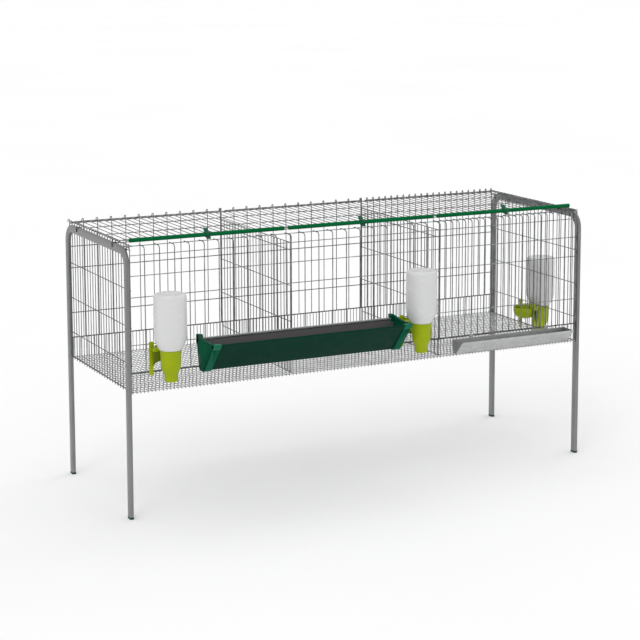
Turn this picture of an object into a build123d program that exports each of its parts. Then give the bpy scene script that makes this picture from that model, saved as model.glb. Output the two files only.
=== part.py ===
from build123d import *

import os
from math import sqrt

# Poultry fattening cage: three compartments in a row between two legged end frames.
# Built with x running from the left end frame's inner face to the right one's, y zero at mid
# depth with the front at negative y, and z zero on the ground. All lengths in millimetres.

# Wire box
BAR_PITCH = 50.0
BARS_PER_BAY = 11
DEPTH = 565.0
FLOOR_HEIGHT = 405.0
WALL_HEIGHT = 452.5
WIRE = 3.0
FRONT_BAND = 60.0
BACK_BAND = 65.0
FRONT_SHARES = (0.326, 0.6575, 0.8066)
BACK_SHARES = (0.3315, 0.6685, 0.8287)
END_SHARES = (0.1856, 0.4464, 0.7072)
PARTITION_SHARES = (0.1149, 0.3757, 0.6365, 0.8928)
SIDE_BARS = 8
FLOOR_ROWS = 4
BEND_RADIUS = 22.0
FRONT_RETURN = 45.0

# End frames: one flat tube bent into an upturned U
FRAME_MARGIN = 5.0
FRAME_RISE = 2.5
TUBE_WIDE = 25.0
TUBE_THICK = 13.0
TUBE_WALL = 1.2
TUBE_CORNER = 2.6
FRAME_BEND = 60.0
PLUG_HEAD = 7.0
PLUG_STEM = 20.0
PLUG_GAP = 0.3
HOOK_WIDTH = 3.0
HOOK_DROP = 14.0
HOOK_SPACING = 335.0

# Lids
LID_GAP = 17.0
LID_END_GAP = 14.0
LID_CLEAR = 5.0
LID_ROWS = 4
LID_LIP = 14.0
HINGE_ROD = 4.4
LOOP_GAP = 0.5
LOOP_WALL = 2.0
LOOP_WIDTH = 4.0
LOOPS = 4
LOOP_SIDES = 8
SLEEVE_OUTER = 12.0
SLEEVE_BORE = 5.2
SLEEVE_SLOT = 3.8
SLEEVE_SETBACK = 35.0

# Latch clips on the sleeves
CLIP_WIDTH = 20.0
CLIP_GAP = 0.3
CLIP_WALL = 2.6
CLIP_LEVER = 20.0
CLIP_FINGER = 12.0
CLIP_TILT = 45.0

# Plastic feed trough
FEEDER_TO_LEFT_DRINKER = 114.0
FEEDER_TO_MIDDLE_DRINKER = 74.0
FEEDER_ABOVE_RAIL = 3.5
FEEDER_HEIGHT = 96.0
FEEDER_MOUTH = 128.0
FEEDER_BASE = 32.0
FEEDER_BACK_SLOPE = 12.0
FEEDER_WALL = 3.0
FEEDER_BEAD = 3.5
CAP_WALL = 2.5
CAP_SKIRT = 26.0
CAP_GAP = 0.3
CAP_HOOK = 13.0
CAP_HOOK_DROP = 16.0
CAP_STEM = 8.0
CAP_TONGUE = 5.0
CAP_TRIM = 2.0

# Sheet metal trough
TRAY_LEFT_GAP = 50.0
TRAY_RIGHT_GAP = 53.0
TRAY_BELOW_LINE = 7.0
TRAY_HEIGHT = 46.0
TRAY_MOUTH = 66.0
TRAY_BASE = 20.0
TRAY_BACK_SLOPE = 4.0
TRAY_SHEET = 1.2
TRAY_HEM = 7.0
TAB_WIDTH = 14.0
TAB_DROP = 9.0
TAB_LAP = 4.0
TAB_SHARES = (0.17, 0.83)

# Bottle drinkers
BOTTLE_RADIUS = 52.0
BOTTLE_HEIGHT = 176.0
SHOULDER_HEIGHT = 43.0
NECK_RADIUS = 15.0
NECK_LENGTH = 40.0
BOTTLE_ROUND = 9.0
DRINKER_OFFSET = 60.0
CUP_BELOW_RAIL = 9.5
CUP_DEPTH = 100.0
CUP_TOP_RADIUS = 35.5
CUP_BASE_RADIUS = 20.5
CUP_WALL = 2.2
RIM_THICK = 5.0
RIM_LIP = 3.0
STRIP_WIDTH = 15.0
STRIP_SPAN = 110.0
STRIP_THICK = 3.5
STRIP_RISE = 17.0
STRIP_LENGTH = 106.0
BOWL_RADIUS = 44.0
BOWL_DEPTH = 38.0
BOWL_BELOW_CUP = 3.0
SPOUT_WIDTH = 20.0
SPOUT_HEIGHT = 16.0
SPOUT_RISE = 8.0
SPOUT_START = 12.0
BOWL_BEVEL = 16.0
LEFT_DRINKER_INSET = 108.0
LEFT_SPOUT_SHIFT = 17.0
MIDDLE_DRINKER_INSET = 104.0
MIDDLE_SPOUT_SHIFT = -16.0
RIGHT_DRINKER_Y = 35.0
RIGHT_SPOUT_SHIFT = 0.0
RIGHT_DRINKER_DROP = 73.0
SEAT_GAP = 0.3

BAY = BAR_PITCH * BARS_PER_BAY
LENGTH = 3 * BAY
FRONT = -DEPTH / 2
BACK = DEPTH / 2
FLOOR_TOP = FLOOR_HEIGHT + WIRE / 2
BAND_TOP = FLOOR_HEIGHT + FRONT_BAND
BACK_BAND_TOP = FLOOR_HEIGHT + BACK_BAND
WALL_TOP = FLOOR_HEIGHT + WALL_HEIGHT
BEND_START = WALL_TOP - BEND_RADIUS
FEEDER_RAIL = FLOOR_HEIGHT + WALL_HEIGHT * FRONT_SHARES[0]
FRAME_DEPTH = DEPTH + 2 * FRAME_MARGIN
FRAME_HEIGHT = WALL_TOP + FRAME_RISE
LID_BOTTOM = WALL_TOP + LID_CLEAR
LID_TOP = LID_BOTTOM + WIRE
LOOP_OUTER = HINGE_ROD / 2 + LOOP_GAP + LOOP_WALL
HINGE_Y = BACK - WIRE / 2
HINGE_Z = LID_BOTTOM + 1.0 - LOOP_OUTER
SLEEVE_Y = FRONT + SLEEVE_SETBACK
SLEEVE_Z = LID_TOP + LID_LIP
LEFT_DRINKER_X = LEFT_DRINKER_INSET
MIDDLE_DRINKER_X = 2 * BAY - MIDDLE_DRINKER_INSET
FEEDER_LEFT = LEFT_DRINKER_X + FEEDER_TO_LEFT_DRINKER
FEEDER_LENGTH = MIDDLE_DRINKER_X - FEEDER_TO_MIDDLE_DRINKER - FEEDER_LEFT
FEEDER_TOP = FEEDER_RAIL + FEEDER_ABOVE_RAIL
TRAY_LEFT = 2 * BAY + TRAY_LEFT_GAP
TRAY_LENGTH = LENGTH - TRAY_RIGHT_GAP - TRAY_LEFT
TRAY_TOP = BAND_TOP - TRAY_BELOW_LINE
CUP_TOP = FEEDER_RAIL - CUP_BELOW_RAIL
BOTTLE_TOP = CUP_TOP + BOTTLE_HEIGHT
SHOULDER_TOP = CUP_TOP + SHOULDER_HEIGHT
STRIP_TOP = CUP_TOP + STRIP_RISE
STRIP_BOTTOM = STRIP_TOP - STRIP_LENGTH
BOWL_TOP = CUP_TOP - BOWL_BELOW_CUP


def pairs(values):
    return zip(values, values[1:])


def even(start, stop, steps):
    return [start + (stop - start) * i / steps for i in range(steps + 1)]


def heights(shares):
    """Rail heights from their shares of the wall's height above the floor."""
    return [FLOOR_HEIGHT + WALL_HEIGHT * share for share in shares]


def patch(left, right, low, high):
    """Rectangle given by its four sides."""
    return Pos((left + right) / 2, (low + high) / 2) * Rectangle(right - left, high - low)


def bevelled(wide, deep, corner):
    outline = Rectangle(wide, deep)
    return chamfer(outline.vertices(), corner)


def lattice(plane, across, up):
    """Square bars fused where they cross, centred on the given lines of one plane."""
    wide = across[-1] - across[0] + WIRE
    high = up[-1] - up[0] + WIRE
    sheet = Pos((across[0] + across[-1]) / 2, (up[0] + up[-1]) / 2) * Rectangle(wide, high)
    cells = [
        Pos((a + b) / 2, (c + d) / 2) * Rectangle(b - a - WIRE, d - c - WIRE)
        for a, b in pairs(across)
        for c, d in pairs(up)
    ]
    return extrude(plane * (sheet - cells), WIRE)


def facing_front(y):
    return Plane((0, y, 0), x_dir=(1, 0, 0), z_dir=(0, -1, 0))


def facing_right(x):
    return Plane((x, 0, 0), x_dir=(0, 1, 0), z_dir=(1, 0, 0))


def bay_span(bay):
    """The x range of one compartment's walls, which stop at the end walls' inner faces."""
    left = bay * BAY + (WIRE if bay == 0 else 0)
    right = (bay + 1) * BAY - (WIRE if bay == 2 else 0)
    return left, right


def bay_bars(bay, step=1):
    left, right = bay_span(bay)
    inner = [bay * BAY + BAR_PITCH * i for i in range(step, BARS_PER_BAY, step)]
    return [left + WIRE / 2] + inner + [right - WIRE / 2]


def floor_mesh(bay):
    left = bay * BAY
    bars = [left + BAR_PITCH * i for i in range(1, BARS_PER_BAY)]
    bars = [left + WIRE / 2] + bars + [left + BAY - WIRE / 2]
    rows = even(FRONT + WIRE / 2, BACK - WIRE / 2, FLOOR_ROWS)
    return lattice(Plane((0, 0, FLOOR_TOP - WIRE)), bars, rows)


def floor_band(y, top):
    bars = [WIRE * 1.5] + [BAR_PITCH * i for i in range(1, 3 * BARS_PER_BAY)] + [LENGTH - WIRE * 1.5]
    return lattice(facing_front(y), bars, [FLOOR_TOP + WIRE / 2, top - WIRE / 2])


def front_wall(bay):
    """Upright bars and rails up to where the bars start to bend back."""
    rails = [BAND_TOP + WIRE / 2, *heights(FRONT_SHARES), BEND_START - WIRE / 2]
    return lattice(facing_front(FRONT + WIRE), bay_bars(bay), rails)


def front_edge(bay):
    """Tops of the front bars, bent back over the edge and ended in a rail."""
    left, right = bay_span(bay)
    shelf = FRONT + BEND_RADIUS
    section = Polyline(
        (FRONT, BEND_START),
        (shelf, WALL_TOP),
        (FRONT + FRONT_RETURN, WALL_TOP),
        (FRONT + FRONT_RETURN, WALL_TOP - WIRE),
        (shelf + WIRE * (sqrt(2) - 1), WALL_TOP - WIRE),
        (FRONT + WIRE, BEND_START),
        close=True,
    )
    sheet = extrude(facing_right(left) * make_face(section), right - left)
    gap = patch(FRONT - WIRE, FRONT + FRONT_RETURN - WIRE, BEND_START - WIRE, WALL_TOP + WIRE)
    gaps = [extrude(facing_right(a + WIRE / 2) * gap, b - a - WIRE) for a, b in pairs(bay_bars(bay))]
    return sheet - gaps


def back_wall(bay):
    """Upright bars up to the round rod that the lid's loops turn on."""
    left, right = bay_span(bay)
    rails = [BACK_BAND_TOP + WIRE / 2, *heights(BACK_SHARES), HINGE_Z]
    wall = lattice(facing_front(BACK), bay_bars(bay), rails)
    rod = Plane((left, HINGE_Y, HINGE_Z), x_dir=(0, 1, 0), z_dir=(1, 0, 0))
    rod = rod * RegularPolygon(HINGE_ROD / 2, LOOP_SIDES)
    return wall + extrude(rod, right - left)


def side_wall(x, rails, ends):
    bars = even(ends[0] + WIRE / 2, ends[1] - WIRE / 2, SIDE_BARS)
    return lattice(facing_right(x), bars, rails)


def end_wall(x):
    rails = [FLOOR_TOP + WIRE / 2, *heights(END_SHARES), WALL_TOP - WIRE / 2]
    return side_wall(x, rails, (FRONT, BACK))


def partition(number):
    rails = [FLOOR_TOP + WIRE / 2, *heights(PARTITION_SHARES), BEND_START - WIRE]
    return side_wall(number * BAY - WIRE / 2, rails, (FRONT + WIRE, BACK - WIRE))


def end_frame(x):
    """Hollow flat tube, up one leg, over the top and down the other."""
    leg = (FRAME_DEPTH - TUBE_WIDE) / 2
    top = FRAME_HEIGHT - TUBE_WIDE / 2
    middle = x + TUBE_THICK / 2
    path = FilletPolyline(
        (middle, -leg, PLUG_HEAD),
        (middle, -leg, top),
        (middle, leg, top),
        (middle, leg, PLUG_HEAD),
        radius=FRAME_BEND - TUBE_WIDE / 2,
    )
    section = Plane(path @ 0, x_dir=(1, 0, 0), z_dir=path % 0)
    bore = bevelled(TUBE_THICK - 2 * TUBE_WALL, TUBE_WIDE - 2 * TUBE_WALL, TUBE_CORNER - TUBE_WALL)
    return sweep(section * (bevelled(TUBE_THICK, TUBE_WIDE, TUBE_CORNER) - bore), path)


def foot_plug(x, side):
    """Plastic end plug: a head under the leg and a stem in its bore."""
    at = Pos(x + TUBE_THICK / 2, side * (FRAME_DEPTH - TUBE_WIDE) / 2)
    head = extrude(at * bevelled(TUBE_THICK, TUBE_WIDE, TUBE_CORNER), PLUG_HEAD)
    slack = 2 * (TUBE_WALL + PLUG_GAP)
    stem = at * bevelled(TUBE_THICK - slack, TUBE_WIDE - slack, TUBE_CORNER - slack / 2 + PLUG_GAP)
    return head + extrude(Pos(0, 0, PLUG_HEAD) * stem, PLUG_STEM)


def frame_hooks(x, outward):
    """Wire hooks from the end wall's top rail over the frame's top bar."""
    rail = sorted((x - outward * WIRE, x))
    leg = sorted((x + outward * TUBE_THICK, x + outward * (TUBE_THICK + WIRE)))
    hook = patch(min(rail[0], leg[0]), max(rail[1], leg[1]), FRAME_HEIGHT, FRAME_HEIGHT + WIRE)
    hook += patch(*leg, FRAME_HEIGHT - HOOK_DROP, FRAME_HEIGHT)
    hook += patch(*rail, WALL_TOP, FRAME_HEIGHT)
    at = (-HOOK_SPACING / 2, HOOK_SPACING / 2)
    return [extrude(facing_front(y + HOOK_WIDTH / 2) * hook, HOOK_WIDTH) for y in at]


def lid_span(bay):
    left = bay * BAY + (LID_END_GAP if bay == 0 else LID_GAP / 2)
    right = (bay + 1) * BAY - (LID_END_GAP if bay == 2 else LID_GAP / 2)
    return left, right


def lid(bay):
    """Wire lid with an upturned front rail and loops that turn on the back wall's rod."""
    left, right = lid_span(bay)
    bars = [bay * BAY + BAR_PITCH * i for i in range(1, BARS_PER_BAY)]
    bars = [left + WIRE / 2] + bars + [right - WIRE / 2]
    rows = even(SLEEVE_Y, HINGE_Y, LID_ROWS)
    grid = lattice(Plane((0, 0, LID_BOTTOM)), bars, rows)
    lip = lattice(facing_front(SLEEVE_Y + WIRE / 2), [bars[0], *bars[2:-2:3], bars[-1]],
                  [LID_TOP - WIRE / 2, SLEEVE_Z])
    bore = RegularPolygon(HINGE_ROD / 2 + LOOP_GAP, LOOP_SIDES, major_radius=False)
    ring = RegularPolygon(LOOP_OUTER, LOOP_SIDES, major_radius=False) - bore
    loops = []
    for i in range(LOOPS):
        slot = 1 + i * (BARS_PER_BAY - 3) // (LOOPS - 1)
        x = bay * BAY + BAR_PITCH * (slot + 0.5) - LOOP_WIDTH / 2
        at = Plane((x, HINGE_Y, HINGE_Z), x_dir=(0, 1, 0), z_dir=(1, 0, 0))
        loops.append(extrude(at * ring, LOOP_WIDTH))
    return grid + lip + loops


def lid_sleeve(bay):
    """Plastic tube split along its underside and pushed over the lid's front rail."""
    left, right = lid_span(bay)
    at = Plane((left, SLEEVE_Y, SLEEVE_Z), x_dir=(0, 1, 0), z_dir=(1, 0, 0))
    slot = Pos(0, -SLEEVE_OUTER / 2) * Rectangle(SLEEVE_SLOT, SLEEVE_OUTER)
    return extrude(at * (Circle(SLEEVE_OUTER / 2) - Circle(SLEEVE_BORE / 2) - slot), right - left)


def latch_clip(bay):
    """Spring clip round the sleeve, with a thumb lever behind and a finger in front."""
    inner = SLEEVE_OUTER / 2 + CLIP_GAP
    outer = inner + CLIP_WALL
    mouth = Rot(0, 0, -135 + 2 * CLIP_TILT) * Pos(outer, 0) * Rectangle(outer * 2, inner * 1.2)
    lever = Rot(0, 0, CLIP_TILT) * Pos(inner + CLIP_LEVER / 2, 0) * Rectangle(CLIP_LEVER, CLIP_WALL)
    finger = Rot(0, 0, 180 + CLIP_TILT) * Pos(inner + CLIP_FINGER / 2, 0)
    finger = finger * Rectangle(CLIP_FINGER, CLIP_WALL)
    ring = Circle(outer) - Circle(inner) - mouth
    middle = bay * BAY + BAY / 2 - CLIP_WIDTH / 2
    at = Plane((middle, SLEEVE_Y, SLEEVE_Z), x_dir=(0, 1, 0), z_dir=(1, 0, 0))
    return extrude(at * (ring + lever + finger), CLIP_WIDTH)


def channel_outline(back, top, height, mouth, base, slope, rounding):
    """Cross section of a trough whose front face slopes out to the top, as one filled shape."""
    low = top - height
    points = [
        (back, top),
        (back - slope, low),
        (back - slope - base, low),
        (back - mouth, top),
    ]
    shape = make_face(Polyline(*points, close=True))
    corners = shape.vertices().sort_by(Axis.Y)[:2]
    return fillet(corners, rounding) if rounding else shape


def hollow_section(outline, wall):
    """The outline with its inside taken out through the open top."""
    inside = offset(outline, -wall, kind=Kind.INTERSECTION)
    return outline - inside - Pos(0, wall * 1.5) * inside


def feeder_outline():
    return channel_outline(
        FRONT - CAP_WALL - CAP_GAP, FEEDER_TOP, FEEDER_HEIGHT, FEEDER_MOUTH, FEEDER_BASE,
        FEEDER_BACK_SLOPE, 9.0
    )


def feeder_body():
    section = hollow_section(feeder_outline(), FEEDER_WALL)
    bead = Pos(FRONT - CAP_WALL - CAP_GAP - FEEDER_MOUTH + FEEDER_BEAD, FEEDER_TOP - FEEDER_BEAD)
    start = FEEDER_LEFT + CAP_WALL + CAP_GAP
    run = FEEDER_LENGTH - 2 * (CAP_WALL + CAP_GAP)
    section += bead * Circle(FEEDER_BEAD) & feeder_outline()
    return extrude(facing_right(start) * section, run)


def feeder_cap(right_hand):
    """End cap: a plate, a skirt round the body's end and a hook over the wall's lowest rail."""
    outline = feeder_outline()
    plate = offset(outline, CAP_GAP + CAP_WALL)
    hole = offset(outline, CAP_GAP)
    above = patch(FRONT - 2 * FEEDER_MOUTH, FRONT, FEEDER_TOP - CAP_TRIM, FEEDER_TOP + FEEDER_HEIGHT)
    rail_top = FEEDER_RAIL + WIRE / 2 + CAP_GAP
    hook_top = rail_top + CAP_HOOK
    stem = (FRONT - CAP_GAP - CAP_STEM, FRONT - CAP_GAP)
    tongue = (FRONT + 2 * WIRE, FRONT + 2 * WIRE + CAP_TONGUE)
    plate_and_hook = plate + patch(*stem, rail_top - CAP_HOOK_DROP, hook_top)
    plate_and_hook += patch(stem[0], tongue[1], rail_top, hook_top)
    plate_and_hook += patch(*tongue, rail_top - CAP_HOOK_DROP, hook_top)
    x = FEEDER_LEFT + FEEDER_LENGTH - CAP_WALL if right_hand else FEEDER_LEFT
    skirt_x = x - CAP_SKIRT + CAP_WALL if right_hand else x
    skirt = extrude(facing_right(skirt_x) * (plate - hole - above), CAP_SKIRT)
    return extrude(facing_right(x) * plate_and_hook, CAP_WALL) + skirt


def sheet_trough():
    """Folded sheet trough with closed ends, hemmed edges and tabs over the front line."""
    back = FRONT - SEAT_GAP
    outline = channel_outline(
        back, TRAY_TOP, TRAY_HEIGHT, TRAY_MOUTH, TRAY_BASE, TRAY_BACK_SLOPE, 4.0
    )
    section = hollow_section(outline, TRAY_SHEET)
    hem_y = back - TRAY_MOUTH
    hem = Pos(hem_y, TRAY_TOP - TRAY_HEM / 2) * Rectangle(2 * TRAY_SHEET, TRAY_HEM)
    tray = extrude(facing_right(TRAY_LEFT) * (section + hem), TRAY_LENGTH)
    for x in (TRAY_LEFT, TRAY_LEFT + TRAY_LENGTH - TRAY_SHEET):
        tray += extrude(facing_right(x) * outline, TRAY_SHEET)
    rail_top = BAND_TOP + WIRE + SEAT_GAP
    inside = FRONT + WIRE + SEAT_GAP
    tab_top = rail_top + TRAY_SHEET
    tab = patch(back - TRAY_SHEET, inside + TRAY_SHEET, rail_top, tab_top)
    tab += patch(back - TRAY_SHEET, back, TRAY_TOP - TAB_LAP, tab_top)
    tab += patch(inside, inside + TRAY_SHEET, tab_top - TAB_DROP, tab_top)
    for share in TAB_SHARES:
        slot = round((TRAY_LEFT + TRAY_LENGTH * share) / BAR_PITCH - 0.5)
        x = BAR_PITCH * (slot + 0.5) - TAB_WIDTH / 2
        tray += extrude(facing_right(x) * tab, TAB_WIDTH)
    return tray


def bottle():
    """Upturned bottle, its axis at the origin: neck below, rounded base on top."""
    seat = CUP_TOP_RADIUS - CUP_WALL / 4
    profile = Polyline(
        (0, CUP_TOP - NECK_LENGTH),
        (NECK_RADIUS, CUP_TOP - NECK_LENGTH),
        (NECK_RADIUS, CUP_TOP + SEAT_GAP),
        (seat, CUP_TOP + SEAT_GAP),
        (BOTTLE_RADIUS, SHOULDER_TOP),
        (BOTTLE_RADIUS, BOTTLE_TOP),
        (0, BOTTLE_TOP),
        close=True,
    )
    half = make_face(profile)
    by_radius = half.vertices().filter_by(lambda v: v.X > BOTTLE_RADIUS - 1).sort_by(Axis.Y)
    half = chamfer(by_radius[-1], BOTTLE_ROUND)
    by_radius = half.vertices().filter_by(lambda v: abs(v.Y - SHOULDER_TOP) < 0.1)
    half = chamfer(by_radius, 1.5 * BOTTLE_ROUND)
    return revolve(Plane.XZ * half, Axis.Z)


def cup():
    low = CUP_TOP - CUP_DEPTH
    outer = Polyline(
        (0, low),
        (CUP_BASE_RADIUS, low),
        (CUP_TOP_RADIUS, CUP_TOP),
        (CUP_TOP_RADIUS - CUP_WALL, CUP_TOP),
        (CUP_BASE_RADIUS - CUP_WALL, low + CUP_WALL),
        (0, low + CUP_WALL),
        close=True,
    )
    return revolve(Plane.XZ * make_face(outer), Axis.Z)


def bowl(shift):
    """Rounded drinking bowl inside the wires, open at the top, and the spout that feeds it."""
    face_y = DRINKER_OFFSET + WIRE
    half = Pos(0, BOWL_RADIUS / 2) * Rectangle(2 * BOWL_RADIUS, BOWL_RADIUS)
    outer = Pos(shift, face_y, BOWL_TOP - BOWL_DEPTH) * (Circle(BOWL_RADIUS) & half)
    shape = extrude(outer, BOWL_DEPTH)
    round_edges = shape.edges().group_by(Axis.Z)[0].filter_by(GeomType.CIRCLE)
    shape = chamfer(round_edges, BOWL_BEVEL)
    hollow_radius = BOWL_RADIUS - 2 * CUP_WALL
    inner_half = Pos(0, hollow_radius / 2) * Rectangle(2 * hollow_radius, hollow_radius)
    base = BOWL_TOP - BOWL_DEPTH + CUP_WALL
    inner = Pos(shift, face_y + CUP_WALL, base) * (Circle(hollow_radius) & inner_half)
    hollow = extrude(inner, BOWL_DEPTH)
    inner_edges = hollow.edges().group_by(Axis.Z)[0].filter_by(GeomType.CIRCLE)
    hollow = chamfer(inner_edges, BOWL_BEVEL - CUP_WALL)
    spout_end = face_y + CUP_WALL
    spout_low = BOWL_TOP - BOWL_DEPTH + SPOUT_RISE
    spout = patch(shift - SPOUT_WIDTH / 2, shift + SPOUT_WIDTH / 2, SPOUT_START, spout_end)
    return shape - hollow + extrude(Pos(0, 0, spout_low) * spout, SPOUT_HEIGHT)


def holder(shift):
    """Cup with a rim plate, two strips against the wires and the bowl on the inside."""
    half_span = (STRIP_SPAN - STRIP_WIDTH) / 2
    rim = Circle(CUP_TOP_RADIUS + RIM_LIP) + patch(-half_span, half_span, 0, DRINKER_OFFSET)
    plate = extrude(Pos(0, 0, CUP_TOP - RIM_THICK) * rim, RIM_THICK)
    inside = Pos(0, 0, CUP_TOP - CUP_DEPTH / 2) * Cone(
        CUP_BASE_RADIUS - CUP_WALL, CUP_TOP_RADIUS - CUP_WALL, CUP_DEPTH
    )
    strips = []
    for side in (-1, 1):
        middle = side * half_span
        strip = patch(
            middle - STRIP_WIDTH / 2, middle + STRIP_WIDTH / 2,
            DRINKER_OFFSET - STRIP_THICK, DRINKER_OFFSET,
        )
        strips.append(extrude(Pos(0, 0, STRIP_BOTTOM) * strip, STRIP_TOP - STRIP_BOTTOM))
    return plate + strips + bowl(shift) - inside + cup()


def at_front(x):
    return Pos(x, FRONT - DRINKER_OFFSET, 0)


def at_right_end():
    return Pos(LENGTH + DRINKER_OFFSET, RIGHT_DRINKER_Y, -RIGHT_DRINKER_DROP) * Rot(0, 0, 90)


def whole_part():
    names = ("left", "middle", "right")
    nodes = {
        "left_end_frame": end_frame(-TUBE_THICK),
        "right_end_frame": end_frame(LENGTH),
        "front_floor_band": floor_band(FRONT + WIRE, BAND_TOP),
        "back_floor_band": floor_band(BACK, BACK_BAND_TOP),
        "left_end_wall": end_wall(0),
        "right_end_wall": end_wall(LENGTH - WIRE),
        "left_partition": partition(1),
        "right_partition": partition(2),
        "feeder_body": feeder_body(),
        "feeder_left_cap": feeder_cap(False),
        "feeder_right_cap": feeder_cap(True),
        "sheet_trough": sheet_trough(),
        "left_frame_hooks": Compound(children=frame_hooks(0, -1)),
        "right_frame_hooks": Compound(children=frame_hooks(LENGTH, 1)),
    }
    for side, label in ((-1, "front"), (1, "back")):
        nodes[f"{label}_left_foot_plug"] = foot_plug(-TUBE_THICK, side)
        nodes[f"{label}_right_foot_plug"] = foot_plug(LENGTH, side)
    for bay, name in enumerate(names):
        nodes[f"{name}_floor_mesh"] = floor_mesh(bay)
        nodes[f"{name}_front_wall"] = front_wall(bay)
        nodes[f"{name}_front_edge"] = front_edge(bay)
        nodes[f"{name}_back_wall"] = back_wall(bay)
        nodes[f"{name}_lid"] = lid(bay)
        nodes[f"{name}_lid_sleeve"] = lid_sleeve(bay)
        nodes[f"{name}_latch_clip"] = latch_clip(bay)
    spots = (
        ("left", at_front(LEFT_DRINKER_X), LEFT_SPOUT_SHIFT),
        ("middle", at_front(MIDDLE_DRINKER_X), MIDDLE_SPOUT_SHIFT),
        ("right", at_right_end(), RIGHT_SPOUT_SHIFT),
    )
    for name, at, shift in spots:
        nodes[f"{name}_drinker_bottle"] = at * bottle()
        nodes[f"{name}_drinker_holder"] = at * holder(shift)
    return nodes


def main():
    nodes = whole_part()
    boxes = [node.bounding_box() for node in nodes.values()]
    middle_x = (min(b.min.X for b in boxes) + max(b.max.X for b in boxes)) / 2
    middle_y = (min(b.min.Y for b in boxes) + max(b.max.Y for b in boxes)) / 2
    os.makedirs("parts", exist_ok=True)
    for name, node in nodes.items():
        export_step(Pos(-middle_x, -middle_y, 0) * node, f"parts/{name}.step")
    print("moved by", round(-middle_x, 3), round(-middle_y, 3))


main()
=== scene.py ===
import math

import bmesh
import bpy
from mathutils import Matrix, Vector


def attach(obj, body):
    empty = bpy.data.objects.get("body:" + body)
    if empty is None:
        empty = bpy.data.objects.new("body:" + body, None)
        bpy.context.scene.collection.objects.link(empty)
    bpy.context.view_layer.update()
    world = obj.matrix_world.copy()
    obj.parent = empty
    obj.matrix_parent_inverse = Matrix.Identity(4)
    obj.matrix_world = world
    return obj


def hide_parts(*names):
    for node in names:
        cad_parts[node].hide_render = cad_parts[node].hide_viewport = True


bl_info = {
    "name": "Poultry Fattening Cage",
    "version": (1, 0, 0),
    "blender": (4, 5, 0),
    "location": "3D View > Sidebar > Cage",
    "description": "Dresses the cage frame with round wires, tubes, troughs and drinkers",
    "category": "Object",
}

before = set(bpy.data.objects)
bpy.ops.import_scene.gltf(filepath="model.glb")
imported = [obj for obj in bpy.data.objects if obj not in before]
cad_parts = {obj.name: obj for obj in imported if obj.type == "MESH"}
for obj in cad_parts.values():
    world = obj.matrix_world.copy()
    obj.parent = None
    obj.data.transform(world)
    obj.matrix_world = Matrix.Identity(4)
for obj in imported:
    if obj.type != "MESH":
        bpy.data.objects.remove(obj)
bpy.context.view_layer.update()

# The cage in millimetres: x from the left end frame, y from mid depth, z from the ground
LENGTH = 1650.0
BAY = 550.0
FRONT = -282.5
BACK = 282.5
FLOOR = 405.0
FRONT_LINE = 465.0
BACK_LINE = 470.0
WALL_TOP = 857.5
FRONT_TOP = 861.5
FRONT_RAILS = (552.5, 702.5, 770.0, 834.5)
BACK_RAILS = (555.0, 707.5, 780.0)
END_RAILS = (489.0, 607.0, 725.0)
PARTITION_RAILS = (457.0, 575.0, 693.0, 809.0)
LID_LEVEL = 864.0
HINGE_Y = 281.0
HINGE_Z = 858.8
LID_FRONT = -247.5
SLEEVE_LEVEL = 877.0
LID_RAMP = 90.0
TUBE_WIDE = 25.0
TUBE_THICK = 13.0
FRAME_DEPTH = 575.0
FRAME_HEIGHT = 860.0
FRAME_BEND = 60.0
BAYS = ("left", "middle", "right")

# Floor mesh: how far its wires stand out past the walls, lie below the floor line and keep in
MESH_REACH = 2.5
MESH_DROP = 0.6
MESH_MARGIN = 6.0

# Wires that no property sets, and how far they reach
BAR_INSET = 1.5
RAIL_INSET = 1.0
EDGE_REACH = 44.0
BACK_CURL = (8.0, 7.0, 8.0)
PARTITION_TOP = WALL_TOP - 24
WIRE_TIP = 6.0
LADDER_WIDTH = 7.0
HINGE_ROD = 4.4
HOOK_WIRE = 3.0
HOOK_FOOT = 830.0
HOOK_DROP = 13.5
HOOK_PLACES = (-167.5, 167.5)

# Width of the back bars and of the frame hooks, as a share of their wire's
BACK_GAUGE = 0.9
HOOK_GAUGE = 0.95

# Lids: gaps beside them, their cross wires, and the loops that turn on the hinge rod
LID_GAP = 8.5
END_LID_GAP = 14.0
LID_MARGIN = 8.0
LID_ROD = 4.0
LID_ROWS = (HINGE_Y - 20, 115.0, -40.0, -190.0)
LOOP_REACH = 3.9
LOOP_START = HINGE_Y - 10
LOOP_WIRE = 2.0

# How far a wire is set off at a weld, as a share of both wires' widths together
RAIL_WELD = 0.42

# The same as a share of one width
CROSS_WELD = 0.85
MESH_WELD = 0.8
LINE_WELD = 0.7

# Rivets on the end frames: their levels, and a dome of (radius, height) pairs
STUD_LEVELS = (FLOOR + 6, 489.0, 607.0, 760.0)
STUD_DOME = ((0.0, 1.0), (1.9, 0.7), (2.8, -0.1), (2.8, -1.3))
STUD_SIDES = 12

# Foot plugs: top of the head, top of the stem inside the tube, and how much slimmer it is
PLUG_HEAD = 7.0
PLUG_STEM = 27.0
PLUG_SLIM = 1.6
PLUG_CORNER = 2.4

# Latch clips: an open ring, its start and turn in degrees, and two legs along a slant, each
# from and to a distance from the sleeve's centre
CLIP_RING = (-10, 290)
CLIP_STEPS = 24
CLIP_SLANT = math.radians(45)
CLIP_LEGS = ((7.0, 25.6), (-7.0, -17.6))
CLIP_SHEET = 2.6
CLIP_WALL = 2.3
CLIP_GAP = 0.2

# From the part's own drawing to the shared frame
SHIFT = Vector((-873.0, 64.3, 0.0))
MM = 0.001


def in_frame(point):
    """A point of the drawing, in millimetres, as metres in the shared frame."""
    return (Vector(point) + SHIFT) * MM


def spread(start, stop, pitch):
    """Even steps from start to stop, as close to the pitch as they come."""
    steps = max(1, round((stop - start) / pitch))
    return [start + (stop - start) * i / steps for i in range(steps + 1)]


# Meshes


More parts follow.
